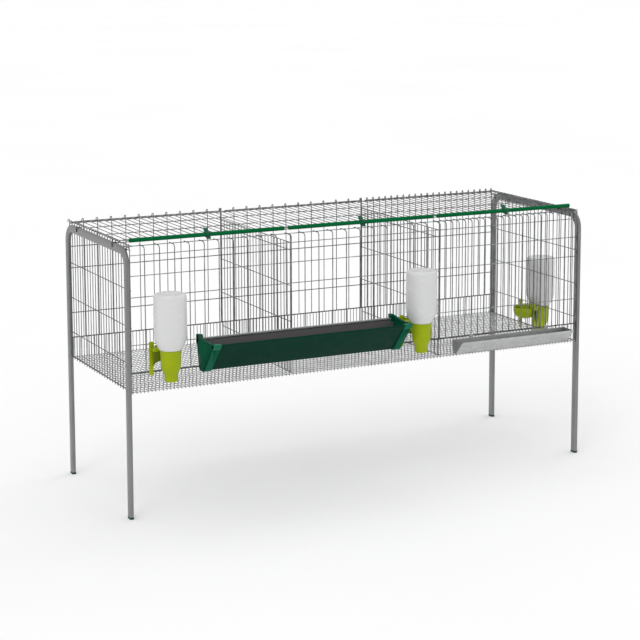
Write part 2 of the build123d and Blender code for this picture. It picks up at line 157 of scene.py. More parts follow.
def bent(points, radius, steps):
    """The path with an arc of the given radius at every inner corner."""
    points = [Vector(p) for p in points]
    path = [points[0]]
    for before, corner, after in zip(points, points[1:], points[2:]):
        a, b = (before - corner).normalized(), (after - corner).normalized()
        half = a.angle(b) / 2
        cut = min(
            radius / math.tan(half), (before - corner).length * 0.49, (after - corner).length * 0.49
        )
        centre = corner + (a + b).normalized() * (cut / math.cos(half))
        start, stop = corner + a * cut - centre, corner + b * cut - centre
        turn = start.angle(stop)
        for i in range(steps + 1):
            t = i / steps
            mix = (start * math.sin((1 - t) * turn) + stop * math.sin(t * turn)) / math.sin(turn)
            path.append(centre + mix)
    return path + [points[-1]]


class Shape:
    """Vertices and faces of one mesh, gathered in the drawing's millimetres."""

    def __init__(self):
        self.points = []
        self.faces = []

    def add(self, points, faces):
        base = len(self.points)
        self.points += [Vector(p) for p in points]
        self.faces += [[base + i for i in face] for face in faces]

    def sweep(self, path, outline, up=(0, 0, 1)):
        """Carries a closed outline, given as (side, up) pairs, along an open path."""
        path = [Vector(p) for p in path]
        count, last = len(outline), len(path) - 1
        normal = Vector(up)
        points = []
        for i, at in enumerate(path):
            before, after = path[max(0, i - 1)], path[min(i + 1, last)]
            along = (after - before).normalized()
            if abs(along.dot(normal)) > 0.99:
                normal = along.orthogonal()
            normal = (normal - along * along.dot(normal)).normalized()
            side = along.cross(normal)
            stretch = 1.0
            if 0 < i < last:
                into, out = (at - before).normalized(), (after - at).normalized()
                stretch = 1 / max(0.5, math.cos(into.angle(out) / 2))
            points += [at + side * u * stretch + normal * v for u, v in outline]
        faces = []
        for i in range(last):
            a, b = i * count, (i + 1) * count
            for j in range(count):
                k = (j + 1) % count
                faces.append((a + j, a + k, b + k, b + j))
        faces.append(tuple(reversed(range(count))))
        faces.append(tuple(range(last * count, (last + 1) * count)))
        self.add(points, faces)

    def wire(self, path, diameter, sides=8):
        """A round wire along a path, closed at both ends."""
        turns = [math.tau * i / sides for i in range(sides)]
        ring = [(math.cos(a) * diameter / 2, math.sin(a) * diameter / 2) for a in turns]
        self.sweep(path, ring)

    def extrude(self, outline, place, depth):
        """A closed outline in (u, v), set by place(u, v, w), drawn out from w 0 to depth."""
        count = len(outline)
        points = [place(u, v, w) for w in (0, depth) for u, v in outline]
        faces = [(i, (i + 1) % count, count + (i + 1) % count, count + i) for i in range(count)]
        faces += [tuple(reversed(range(count))), tuple(range(count, 2 * count))]
        self.add(points, faces)

    def lathe(self, profile, centre, sides, start=0.0, turn=math.tau):
        """Turns a profile of (radius, height) pairs round an upright axis."""
        full = abs(turn - math.tau) < 1e-6
        stops = sides if full else sides + 1
        points = []
        for i in range(stops):
            a = start + turn * i / sides
            points += [
                Vector(centre) + Vector((r * math.cos(a), r * math.sin(a), z)) for r, z in profile
            ]
        count, faces = len(profile), []
        for i in range(sides):
            a, b = i * count, ((i + 1) % stops) * count
            faces += [(a + j, b + j, b + j + 1, a + j + 1) for j in range(count - 1)]
        self.add(points, faces)

    def make(self, name, body, slot, material, nodes=(), bevel=0.0, smooth=35.0):
        """Makes the object, lets it ride on a CAD body and take the place of CAD nodes."""
        mesh = bpy.data.meshes.new(name)
        mesh.from_pydata([in_frame(p) for p in self.points], [], self.faces)
        mesh.validate()
        piece = bpy.data.objects.new(name, mesh)
        bpy.context.scene.collection.objects.link(piece)
        merge = piece.modifiers.new("Weld", "WELD")
        merge.merge_threshold = 0.00002
        if bevel:
            edge = piece.modifiers.new("Edges", "BEVEL")
            edge.width, edge.segments, edge.limit_method = bevel * MM, 2, "ANGLE"
            edge.angle_limit = math.radians(35)
        bpy.context.view_layer.update()
        graph = bpy.context.evaluated_depsgraph_get()
        solid = bpy.data.meshes.new_from_object(piece.evaluated_get(graph))
        piece.modifiers.clear()
        piece.data = solid
        bpy.data.meshes.remove(mesh)
        solid.name = name
        turned = bmesh.new()
        turned.from_mesh(solid)
        bmesh.ops.recalc_face_normals(turned, faces=turned.faces)
        turned.to_mesh(solid)
        turned.free()
        solid.materials.clear()
        solid.materials.append(material)
        solid.set_sharp_from_angle(angle=math.radians(smooth))
        for face in solid.polygons:
            face.use_smooth = True
        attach(piece, body)
        if nodes:
            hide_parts(*nodes)
        return piece


# Materials


class Finish:
    """A node material built up from a few layers."""

    def __init__(self, name, roughness, metallic=0.0, specular=0.5):
        self.material = bpy.data.materials.new(name)
        self.material.use_nodes = True
        self.tree = self.material.node_tree
        self.shader = self.tree.nodes["Principled BSDF"]
        self.shader.inputs["Roughness"].default_value = roughness
        self.shader.inputs["Metallic"].default_value = metallic
        self.shader.inputs["Specular IOR Level"].default_value = specular
        self.place = self.tree.nodes.new("ShaderNodeTexCoord").outputs["Object"]

    def node(self, kind, **values):
        made = self.tree.nodes.new(kind)
        for key, value in values.items():
            setattr(made, key, value)
        return made

    def join(self, start, stop):
        self.tree.links.new(start, stop)

    def stretched(self, scale):
        mapping = self.node("ShaderNodeMapping")
        mapping.inputs["Scale"].default_value = scale
        self.join(self.place, mapping.inputs["Vector"])
        return mapping.outputs["Vector"]

    def noise(self, scale, detail=4.0, rough=0.55, stretch=None):
        made = self.node("ShaderNodeTexNoise")
        made.inputs["Scale"].default_value = scale
        made.inputs["Detail"].default_value = detail
        made.inputs["Roughness"].default_value = rough
        self.join(self.stretched(stretch) if stretch else self.place, made.inputs["Vector"])
        return made.outputs["Fac"]

    def cells(self, scale):
        made = self.node("ShaderNodeTexVoronoi")
        made.inputs["Scale"].default_value = scale
        self.join(self.place, made.inputs["Vector"])
        return made.outputs["Color"]

    def ramp(self, value, stops):
        made = self.node("ShaderNodeValToRGB")
        ends = made.color_ramp.elements
        while len(ends) < len(stops):
            ends.new(0.5)
        for end, (at, colour) in zip(ends, stops):
            end.position, end.color = at, (*colour, 1.0)
        self.join(value, made.inputs["Fac"])
        return made.outputs["Color"]

    def levels(self, value, low, high, start=0.3, stop=0.7):
        made = self.node("ShaderNodeMapRange")
        for key, number in (
            ("From Min", start), ("From Max", stop), ("To Min", low), ("To Max", high)
        ):
            made.inputs[key].default_value = number
        self.join(value, made.inputs["Value"])
        return made.outputs["Result"]

    def mix(self, amount, first, second):
        made = self.node("ShaderNodeMix", data_type="RGBA")
        self.join(amount, made.inputs["Factor"])
        for key, colour in ((6, first), (7, second)):
            if isinstance(colour, tuple):
                made.inputs[key].default_value = (*colour, 1.0)
            else:
                self.join(colour, made.inputs[key])
        return made.outputs[2]

    def edges(self, low, high):
        """White along convex outer edges, from pointiness: a painted highlight on tubes, paler
        plastic edges.
        """
        bump = self.node("ShaderNodeNewGeometry").outputs["Pointiness"]
        return self.levels(bump, 0.0, 1.0, low, high)

    def colour(self, source):
        self.join(source, self.shader.inputs["Base Color"])

    def roughness(self, source):
        self.join(source, self.shader.inputs["Roughness"])

    def bump(self, height, strength, distance):
        made = self.node("ShaderNodeBump")
        made.inputs["Strength"].default_value = strength
        made.inputs["Distance"].default_value = distance
        self.join(height, made.inputs["Height"])
        self.join(made.outputs["Normal"], self.shader.inputs["Normal"])


def wire_zinc(name="Wire Zinc", light=(0.2, 0.203, 0.208), dark=(0.085, 0.087, 0.09)):
    """Galvanised wire: mottled zinc, brighter where it was rubbed."""
    finish = Finish(name, 0.42, metallic=0.8)
    patches = finish.noise(34.0, 6.0)
    bright = tuple(min(1.0, c * 1.7) for c in light)
    finish.colour(finish.ramp(patches, [(0.3, dark), (0.52, light), (0.75, bright)]))
    finish.roughness(finish.levels(finish.noise(90.0), 0.32, 0.58))
    finish.bump(finish.noise(700.0, 3.0), 0.25, 0.0003)
    return finish.material


def tube_zinc():
    """Strip galvanised tube: faint drawing lines along it, dull patches and a painted highlight on
    its edges.
    """
    finish = Finish("Tube Zinc", 0.38, metallic=0.8)
    streaks = finish.noise(40.0, 5.0, stretch=(6.0, 6.0, 0.35))
    base = finish.ramp(streaks, [(0.25, (0.17, 0.172, 0.174)), (0.6, (0.235, 0.237, 0.24))])
    dull = finish.levels(finish.noise(9.0, 8.0), 0.0, 0.6, 0.5, 0.72)
    base = finish.mix(dull, base, (0.15, 0.151, 0.153))
    # Painted highlight: a lighter zinc along the tube's convex edges
    finish.colour(finish.mix(finish.edges(0.56, 0.66), base, (0.36, 0.362, 0.365)))
    finish.roughness(finish.levels(streaks, 0.27, 0.46))
    finish.bump(finish.noise(260.0, 4.0, stretch=(6.0, 6.0, 0.3)), 0.12, 0.0003)
    return finish.material


def sheet_zinc(name="Sheet Zinc", share=1.0):
    """Galvanised sheet with its crystal pattern, its zinc darkened by a share; a share below one
    paints shade.
    """
    finish = Finish(name, 0.4, metallic=0.75)
    crystals = finish.node("ShaderNodeSeparateColor")
    finish.join(finish.cells(85.0), crystals.inputs["Color"])
    dark = tuple(share * c for c in (0.45, 0.454, 0.457))
    light = tuple(share * c for c in (0.53, 0.534, 0.537))
    base = finish.ramp(crystals.outputs["Red"], [(0.0, dark), (1.0, light)])
    dust = finish.levels(finish.noise(14.0, 8.0), 0.0, 0.25, 0.5, 0.8)
    finish.colour(finish.mix(dust, base, (0.3, 0.298, 0.285)))
    finish.roughness(finish.levels(crystals.outputs["Green"], 0.4, 0.48, 0.0, 1.0))
    finish.bump(finish.noise(60.0, 4.0), 0.12, 0.0006)
    return finish.material


def moulded(colour, name, tint, roughness, specular):
    """Moulded plastic: slight cloudiness, fine grain, paler convex edges and dust."""
    finish = Finish(name, roughness, specular=specular)
    shade = tuple(c * t for c, t in zip(colour, tint))
    base = finish.ramp(finish.noise(11.0, 7.0), [(0.3, shade), (0.65, colour)])
    # Paler colour along the convex edges, from the edge mask
    paler_edge = tuple(min(1.0, c * 1.4 + 0.004) for c in colour)
    base = finish.mix(finish.edges(0.55, 0.64), base, paler_edge)
    scuffs = finish.levels(finish.noise(55.0, 9.0, 0.7), 0.0, 0.05, 0.6, 0.8)
    finish.colour(finish.mix(scuffs, base, (0.25, 0.26, 0.23)))
    finish.roughness(finish.levels(finish.noise(30.0, 5.0), roughness - 0.07, roughness + 0.12))
    finish.bump(finish.noise(420.0, 3.0), 0.08, 0.0003)
    return finish.material


def bottle_plastic():
    """Milky bottle plastic with faint flow lines."""
    finish = Finish("Bottle Plastic", 0.24, specular=0.5)
    flow = finish.noise(9.0, 5.0, stretch=(1.0, 1.0, 0.25))
    finish.colour(finish.ramp(flow, [(0.3, (0.66, 0.661, 0.664)), (0.7, (0.7, 0.701, 0.703))]))
    finish.shader.inputs["Subsurface Weight"].default_value = 0.3
    finish.shader.inputs["Subsurface Radius"].default_value = (0.012, 0.012, 0.013)
    finish.roughness(finish.levels(finish.noise(24.0), 0.18, 0.32))
    finish.bump(finish.noise(45.0, 3.0, stretch=(1.0, 1.0, 0.2)), 0.025, 0.0008)
    return finish.material


RECIPES = {
    "wire": wire_zinc,
    "dark_wire": lambda: wire_zinc("Line Zinc", (0.11, 0.112, 0.115), (0.05, 0.051, 0.053)),
    "bright_wire": lambda: wire_zinc("Rail Zinc", (0.3, 0.305, 0.31), (0.16, 0.163, 0.167)),
    "floor_wire": lambda: wire_zinc("Floor Zinc", (0.42, 0.424, 0.43), (0.22, 0.223, 0.227)),
    "tube": tube_zinc,
    "sheet": sheet_zinc,
    # Painted shade: a darker copy of the sheet zinc for the tray's end plates and the sheet inside
    # its back
    "dull_sheet": lambda: sheet_zinc("Dull Sheet Zinc", 0.62),
    "bottle": bottle_plastic,
}

# Moulded plastics: name, tint of their darker clouds, roughness and specular level. Their
# colours are properties of the add-on
PLASTICS = {
    "sleeve": ("Sleeve Green", (1.0, 0.8, 0.778), 0.5, 0.04),
    "clip": ("Clip Green", (1.0, 0.765, 0.711), 0.42, 0.25),
    "feeder": ("Trough Green", (0.8, 0.8, 0.773), 0.55, 0.05),
    "liner": ("Trough Grey", (0.765, 0.775, 0.775), 0.5, 0.25),
    "grip": ("Grip Green", (0.667, 0.8, 0.788), 0.45, 0.12),
    "cap": ("Cap Green", (1.0, 0.75, 0.74), 0.5, 0.06),
    "plug": ("Plug Green", (0.667, 0.7, 0.714), 0.5, 0.25),
    "lime": ("Lime Plastic", (0.824, 0.837, 0.667), 0.36, 0.16),
    # Painted shade: a darker copy of the lime, for the web plates in shade behind the strips
    "olive": ("Olive Plastic", (0.8, 0.8, 0.833), 0.4, 0.25),
}
MADE = {}


def material(name):
    """The named material, made when it is first asked for in its present colour."""
    colour = tuple(getattr(bpy.context.scene.cage_colours, name, ()))
    if (name, colour) not in MADE:
        MADE[name, colour] = moulded(colour, *PLASTICS[name]) if colour else RECIPES[name]()
    return MADE[name, colour]


# Pieces


def bay_bars(bay, pitch):
    """Places of a bay's upright bars."""
    left, right = bay * BAY + BAR_INSET, (bay + 1) * BAY - BAR_INSET
    return [left] + [bay * BAY + pitch * i for i in range(1, round(BAY / pitch))] + [right]


def bay_rail(bay):
    """Both ends of a rail across a bay."""
    return bay * BAY + RAIL_INSET, (bay + 1) * BAY - RAIL_INSET


def wall_pitch(bay, size):
    """Bars stand twice as close in the right bay."""
    return size.bar_pitch / 2 if bay == 2 else size.bar_pitch


def build_floor(size):
    thin, half = size.mesh_wire, size.mesh_pitch / 2
    along, across = FLOOR - thin * MESH_WELD, FLOOR - MESH_DROP
    for bay, name in enumerate(BAYS):
        shape = Shape()
        left, right = bay_rail(bay)
        for x in spread(bay * BAY + half, (bay + 1) * BAY - half, size.mesh_pitch):
            shape.wire([(x, FRONT - MESH_REACH, across), (x, BACK + MESH_REACH, across)], thin, 6)
        for y in spread(FRONT + MESH_MARGIN, BACK - MESH_MARGIN, 2 * size.mesh_pitch):
            shape.wire([(left, y, along), (right, y, along)], thin, 6)
        shape.make(
            f"floor_{name}", "cage", "wire_steel", material("floor_wire"), [f"{name}_floor_mesh"]
        )


def build_bands(size):
    thin, half = size.mesh_wire, size.mesh_pitch / 2
    for name, edge, inward, top in (("front", FRONT, 1, FRONT_LINE), ("back", BACK, -1, BACK_LINE)):
        uprights, line = Shape(), Shape()
        y = edge + inward * thin
        for x in spread(half, LENGTH - half, size.mesh_pitch):
            uprights.wire([(x, y, FLOOR - WIRE_TIP), (x, y, top)], thin, 6)
        line.wire([(RAIL_INSET, y, top), (LENGTH - RAIL_INSET, y, top)], size.line_wire)
        uprights.make(
            f"{name}_band", "cage", "wire_steel", material("wire"), [f"{name}_floor_band"]
        )
        line.make(f"{name}_line", "cage", "wire_steel", material("dark_wire"))


def build_front_walls(size):
    thick = size.bar_wire
    y, top = FRONT + thick / 2, FRONT_TOP - thick / 2
    for bay, name in enumerate(BAYS):
        bars, rails = Shape(), Shape()
        for x in bay_bars(bay, wall_pitch(bay, size)):
            path = [(x, y, FRONT_LINE), (x, y, top), (x, FRONT + EDGE_REACH, top)]
            bars.wire(bent(path, 10, 5), thick)
        left, right = bay_rail(bay)
        behind = y + (thick + size.rail_wire) * RAIL_WELD
        for z in FRONT_RAILS:
            rails.wire([(left, behind, z), (right, behind, z)], size.rail_wire)
        end, low = FRONT + EDGE_REACH - 1, top - (thick + size.rail_wire) * RAIL_WELD
        rails.wire([(left, end, low), (right, end, low)], size.rail_wire)
        nodes = [f"{name}_front_wall", f"{name}_front_edge"]
        bars.make(f"front_bars_{name}", "cage", "wire_steel", material("wire"), nodes)
        rails.make(f"front_rails_{name}", "cage", "wire_steel", material("bright_wire"))


def build_back_walls(size):
    thick = size.bar_wire
    side, inward, drop = BACK_CURL
    for bay, name in enumerate(BAYS):
        shape = Shape()
        y, top = BACK - thick / 2, HINGE_Z + size.hook_rise
        for x in bay_bars(bay, wall_pitch(bay, size)):
            curl = [(x, y, top), (x - side, y - inward, top), (x - side, y - inward, top - drop)]
            shape.wire(bent([(x, y, BACK_LINE), *curl], 4, 5), thick * BACK_GAUGE)
        left, right = bay_rail(bay)
        inside = y - thick * CROSS_WELD
        for z in BACK_RAILS:
            shape.wire([(left, inside, z), (right, inside, z)], thick)
        shape.wire([(left, HINGE_Y, HINGE_Z), (right, HINGE_Y, HINGE_Z)], HINGE_ROD, 12)
        shape.make(
            f"back_wires_{name}", "cage", "wire_steel", material("wire"), [f"{name}_back_wall"]
        )


def build_side_walls(size):
    thick, top = size.side_wire, size.ladder_level
    front, back = FRONT + RAIL_INSET, BACK - RAIL_INSET
    for name, x, inward in (("left", BAR_INSET, 1), ("right", LENGTH - BAR_INSET, -1)):
        shape = Shape()
        end = x + inward * LADDER_WIDTH
        for y in spread(FRONT + thick, BACK - thick, size.side_pitch):
            shape.wire(bent([(x, y, FLOOR - WIRE_TIP), (x, y, top), (end, y, top)], 2.5, 3), thick)
        for z in (FLOOR, *END_RAILS, WALL_TOP - 6, top - 1):
            gauge = size.line_wire if z == FLOOR else thick
            inside = x + inward * gauge * LINE_WELD
            shape.wire([(inside, front, z), (inside, back, z)], gauge)
        low = top - thick * MESH_WELD
        shape.wire([(end, front, low), (end, back, low)], thick)
        nodes = [f"{name}_end_wall"]
        shape.make(f"end_wires_{name}", "cage", "wire_steel", material("wire"), nodes)
    for name, x in (("left", BAY), ("right", 2 * BAY)):
        shape = Shape()
        for y in spread(FRONT + 4 + thick, BACK - 4 - thick, size.side_pitch):
            shape.wire([(x, y, FLOOR + 2), (x, y, PARTITION_TOP)], thick)
        beside = x + thick * CROSS_WELD
        for z in (FLOOR + 3, *PARTITION_RAILS, PARTITION_TOP):
            shape.wire([(beside, FRONT + 4, z), (beside, BACK - 4, z)], thick)
        nodes = [f"{name}_partition"]
        shape.make(f"partition_wires_{name}", "cage", "wire_steel", material("wire"), nodes)


def lid_span(bay):
    """Both sides of a lid, further in beside the end frames."""
    left = bay * BAY + (END_LID_GAP if bay == 0 else LID_GAP)
    right = (bay + 1) * BAY - (END_LID_GAP if bay == 2 else LID_GAP)
    return left, right


def build_lids(size):
    thick, climb = size.lid_wire, SLEEVE_LEVEL - LID_LEVEL
    turns = [math.radians(140 - 20 * i) for i in range(11)]
    circle = [(LOOP_REACH * math.cos(a), LOOP_REACH * math.sin(a)) for a in turns]
    for bay, name in enumerate(BAYS):
        shape = Shape()
        left, right = lid_span(bay)
        first = bay * BAY + size.lid_pitch / 2
        inner = [first + size.lid_pitch * i for i in range(round(BAY / size.lid_pitch))]
        inner = [x for x in inner if left + LID_MARGIN < x < right - LID_MARGIN]
        for x in [left + thick / 2, *inner, right - thick / 2]:
            foot = (x, LID_FRONT + LID_RAMP, LID_LEVEL)
            path = [(x, LID_FRONT, SLEEVE_LEVEL), foot, (x, LOOP_START, LID_LEVEL)]
            shape.wire(bent(path, 40, 3), thick)
        for x in inner:
            loop = [(x, HINGE_Y + u, HINGE_Z + v) for u, v in circle]
            shape.wire([(x, LOOP_START, LID_LEVEL), *loop], min(thick, LOOP_WIRE), 6)
        for y in LID_ROWS:
            rise = max(0.0, (LID_FRONT + LID_RAMP - y) / LID_RAMP) * climb
            level = LID_LEVEL + rise + thick * LINE_WELD
            shape.wire([(left, y, level), (right, y, level)], thick)
        shape.wire([(left, LID_FRONT, SLEEVE_LEVEL), (right, LID_FRONT, SLEEVE_LEVEL)], LID_ROD)
        slot, nodes = "wire_steel", [f"{name}_lid"]
        shape.make(f"lid_wires_{name}", f"{name}_lid_body", slot, material("wire"), nodes)


def rounded(wide, high, corner, steps=3, centre=(0.0, 0.0)):
    """Outline of a rectangle with rounded corners."""
    points = []
    for sx, sy, start in ((1, 1, 0), (-1, 1, 90), (-1, -1, 180), (1, -1, 270)):
        for i in range(steps + 1):
            a = math.radians(start + 90 * i / steps)
            points.append(
                (
                    centre[0] + sx * (wide / 2 - corner) + corner * math.cos(a),
                    centre[1] + sy * (high / 2 - corner) + corner * math.sin(a),
                )
            )
    return points


def build_frames(size):
    leg = (FRAME_DEPTH - TUBE_WIDE) / 2
    top = FRAME_HEIGHT - TUBE_WIDE / 2
    for name, x in (("left", -TUBE_THICK / 2), ("right", LENGTH + TUBE_THICK / 2)):
        shape = Shape()
        path = [(x, -leg, PLUG_HEAD), (x, -leg, top), (x, leg, top), (x, leg, PLUG_HEAD)]
        arc = bent(path, FRAME_BEND - TUBE_WIDE / 2, 12)
        shape.sweep(arc, rounded(TUBE_WIDE, TUBE_THICK, size.tube_corner), up=(1, 0, 0))
        shape.make(
            f"end_tube_{name}", "cage", "tube_steel", material("tube"), [f"{name}_end_frame"]
        )
        outward = -1 if name == "left" else 1
        studs = Shape()
        face, rings = x + outward * TUBE_THICK / 2, len(STUD_DOME)
        for y in (-leg, leg):
            for z in STUD_LEVELS:
                points, faces = [], []
                for i in range(STUD_SIDES):
                    u, v = math.cos(math.tau * i / STUD_SIDES), math.sin(math.tau * i / STUD_SIDES)
                    points += [(face + outward * h, y + r * u, z + r * v) for r, h in STUD_DOME]
                    a, b = i * rings, ((i + 1) % STUD_SIDES) * rings
                    faces += [(a + j, b + j, b + j + 1, a + j + 1) for j in range(rings - 1)]
                studs.add(points, faces)
        studs.make(f"frame_studs_{name}", "cage", "tube_steel", material("dark_wire"))


def build_hooks(size):
    half = HOOK_WIRE / 2
    for name, x, outward in (("left", 0.0, -1), ("right", LENGTH, 1)):
        shape = Shape()
        far, near = x + outward * (TUBE_THICK + half), x - outward * half
        level = FRAME_HEIGHT + half
        for y in HOOK_PLACES:
            over = [(near, y, level), (far, y, level), (far, y, FRAME_HEIGHT - HOOK_DROP)]
            shape.wire(bent([(near, y, HOOK_FOOT), *over], 2.5, 4), HOOK_WIRE * HOOK_GAUGE)
        nodes = [f"{name}_frame_hooks"]
        shape.make(f"frame_hooks_{name}", "cage", "wire_steel", material("dark_wire"), nodes)


def build_plugs(size):
    leg = (FRAME_DEPTH - TUBE_WIDE) / 2
    for depth, y in (("front", -leg), ("back", leg)):
        for side, x in (("left", -TUBE_THICK / 2), ("right", LENGTH + TUBE_THICK / 2)):
            shape = Shape()
            for low, high, slim in ((0.0, PLUG_HEAD, 0.0), (PLUG_HEAD, PLUG_STEM, PLUG_SLIM)):
                outline = rounded(TUBE_THICK - 2 * slim, TUBE_WIDE - 2 * slim, PLUG_CORNER)
                shape.extrude(outline, lambda u, v, w, low=low: (x + u, y + v, low + w), high - low)
            nodes = [f"{depth}_{side}_foot_plug"]
            shape.make(
                f"foot_{depth}_{side}", "cage", "plug_plastic", material("plug"), nodes, bevel=0.8
            )


def build_sleeves(size):
    for bay, name in enumerate(BAYS):
        left, right = lid_span(bay)
        shape = Shape()
        path = [(left, LID_FRONT, SLEEVE_LEVEL), (right, LID_FRONT, SLEEVE_LEVEL)]
        shape.wire(path, size.sleeve_wide, 24)
        body, nodes = f"{name}_lid_body", [f"{name}_lid_sleeve"]
        shape.make(
            f"bar_sleeve_{name}", body, "sleeve_plastic", material("sleeve"), nodes, bevel=0.9
        )


def build_clips(size):
    inner = size.sleeve_wide / 2 + CLIP_GAP
    outer = inner + CLIP_WALL
    first, turn = CLIP_RING
    turns = [math.radians(first + turn * i / CLIP_STEPS) for i in range(CLIP_STEPS + 1)]
    grip = [(outer * math.cos(a), outer * math.sin(a)) for a in turns]
    grip += [(inner * math.cos(a), inner * math.sin(a)) for a in reversed(turns)]
    along = Vector((math.cos(CLIP_SLANT), math.sin(CLIP_SLANT)))
    across = Vector((-along.y, along.x)) * CLIP_SHEET / 2
    for bay, name in enumerate(BAYS):
        start = bay * BAY + BAY / 2 - size.clip_width / 2
        shape = Shape()

        def place(u, v, w):
            return (start + w, LID_FRONT + u, SLEEVE_LEVEL + v)

        shape.extrude(grip, place, size.clip_width)
        for near, far in CLIP_LEGS:
            a, b = along * near, along * far
            corners = (a + across, b + across, b - across, a - across)
            shape.extrude([tuple(corner) for corner in corners], place, size.clip_width)
        body, nodes = f"{name}_lid_body", [f"{name}_latch_clip"]
        shape.make(f"clip_{name}", body, "clip_plastic", material("clip"), nodes, bevel=0.5)


# Troughs, in the drawing's millimetres. A reach says how far the foot of the back, the front
# of the base and the mouth lie in front of the back rim

FEEDER_LEFT = 222.0
FEEDER_RIGHT = 922.0
FEEDER_TOP = 556.0
FEEDER_HEIGHT = 96.0
FEEDER_REACH = (12.0, 44.0, 128.0)
FEEDER_LIP = 7.0
CAP_WALL = 2.5
CAP_GAP = 0.3
CAP_SKIRT = 26.0
FEEDER_BACK = FRONT - CAP_WALL - CAP_GAP
GRIP_FRONT = FEEDER_BACK - 130.6
LINER_SPAN = (7.0, 82.0)
LINER_PLAY = 3.1
LINER_SHEET = 0.8

SHEET = 1.2
TRAY_LEFT = 1150.0
TRAY_RIGHT = 1597.0
TRAY_TOP = 458.0
TRAY_BACK = FRONT - 0.3
TRAY_HEIGHT = 46.0
TRAY_REACH = (4.0, 24.0, 66.0)
TRAY_PLAY = 1.25
TAB_PLACES = (1225.0, 1525.0)
TAB_WIDTH = 14.0

# Outlines in (y, z): a cap's hook over the front rail, its rim and its grip, then the sheet
# trough's tabs and a thin dark sheet inside its back that paints shade there
CAP_HOOK = (
    (FRONT - 8.3, FEEDER_TOP - 14), (FRONT - 8.3, 567.3), (FRONT + 11, 567.3),
    (FRONT + 11, 538.3), (FRONT + 6, 538.3), (FRONT + 6, 554.3), (FRONT - 0.3, 554.3),
    (FRONT - 0.3, FEEDER_TOP - 14),
)
CAP_RIM = (
    (FRONT - 5, 568.0), (FRONT - 64, 558.5), (FRONT - 128, 558.5), (FRONT - 128, 553.0),
    (FRONT - 5, 553.0),
)
CAP_GRIP = (
    (GRIP_FRONT, 558.5), (GRIP_FRONT + 17, 558.5), (GRIP_FRONT + 17, 540.5),
    (GRIP_FRONT + 11.3, 540.5), (GRIP_FRONT, 553.4),
)
TRAY_TAB = (
    (TRAY_BACK - SHEET, 454), (TRAY_BACK - SHEET, 469.5), (FRONT + 4.5, 469.5),
    (FRONT + 4.5, 460.5), (FRONT + 3.3, 460.5), (FRONT + 3.3, 468.3), (TRAY_BACK, 468.3),
    (TRAY_BACK, 454),
)
# Painted shade: a thin dark sheet just inside the tray's back wall
TRAY_SHADE_SHEET = (
    (TRAY_BACK - 1.4, TRAY_TOP - 1), (TRAY_BACK - 5.1, TRAY_TOP - 43),
    (TRAY_BACK - 5.9, TRAY_TOP - 43), (TRAY_BACK - 2.2, TRAY_TOP - 1),
)

# Each drinker: its place along the wall, and how far its basin is shifted to the side
DRINKERS = (("left", 108.0, 17.0), ("middle", 996.0, -16.0), ("right", 35.0, 0.0))
RIGHT_DROP = 73.0
CUP_REACH = 60.0
STRIP_SPAN = 42.0
STRIP_FOOT = 454.0
STRIP_LENGTH = 106.0
KNOB_LEVEL = 553.0
BASIN_BACK = 63.0

# Turned outlines of the drinkers, as (radius, height) pairs
BOTTLE = (
    (0.0, 503.0), (15.0, 503.0), (15.0, 543.3), (34.5, 543.3), (37.0, 546.5), (42.0, 556.0),
    (47.0, 566.5), (50.3, 577.0), (51.8, 590.0), (52.0, 640.0), (51.7, 680.0), (51.8, 704.0),
    (51.2, 711.0), (48.6, 716.2), (44.5, 718.8), (40.0, 718.8), (36.0, 715.5), (24.0, 713.8),
    (0.0, 713.2),
)
CUP = (
    (0.0, 443.0), (18.0, 443.0), (20.5, 444.5), (21.0, 447.0), (21.4, 466.0), (25.6, 474.0),
    (29.6, 483.0), (31.6, 496.0), (32.4, 528.0), (33.4, 530.0), (33.6, 541.0), (35.0, 541.5),
    (35.0, 543.0), (31.6, 543.0), (30.4, 528.0), (29.6, 497.0), (27.4, 484.0), (19.6, 469.0),
    (18.9, 447.0), (17.6, 445.2), (0.0, 445.2),
)
BASIN_OUTSIDE = (
    (0.0, 502.0), (24.0, 502.0), (34.0, 506.0), (41.0, 515.0), (44.0, 528.0), (44.0, 540.0),
    (41.8, 540.0),
)
BASIN_INSIDE = ((41.6, 528.0), (38.8, 516.5), (32.6, 508.3), (23.6, 504.4), (0.0, 504.4))

# The plate that joins cup and strips, seen from the front
WEB = (
    (-STRIP_SPAN, 534.0), (STRIP_SPAN, 534.0), (STRIP_SPAN, 484.0), (36.0, 494.0),
    (27.0, 500.0), (-27.0, 500.0), (-36.0, 494.0), (-STRIP_SPAN, 484.0),
)


def trough(back, top, height, reach, radius, steps):
    """Outline of a trough in (y, z), from its back rim round to its front rim."""
    slope, base, mouth = reach
    low = top - height
    ends = ((back, top), (back - slope, low), (back - base, low), (back - mouth, top))
    return [(p.y, p.z) for p in bent([(0, y, z) for y, z in ends], radius, steps)]


def inset(outline, wall):
    """The open outline moved sideways by the wall, to its left."""
    moved = []
    for i, point in enumerate(outline):
        before = Vector(outline[max(0, i - 1)])
        after = Vector(outline[min(len(outline) - 1, i + 1)])
        along = (after - before).normalized()
        moved.append((point[0] - along.y * wall, point[1] + along.x * wall))
    return moved


def folded(outline, wall):
    """The open outline closed by its way back, a wall further in."""
    return outline + list(reversed(inset(outline, -wall)))


def lengthwise(start, turn=1):
    """Sets an outline in (y, z) at x start, to be drawn out along the cage."""
    return lambda u, v, w: (start + turn * w, u, v)


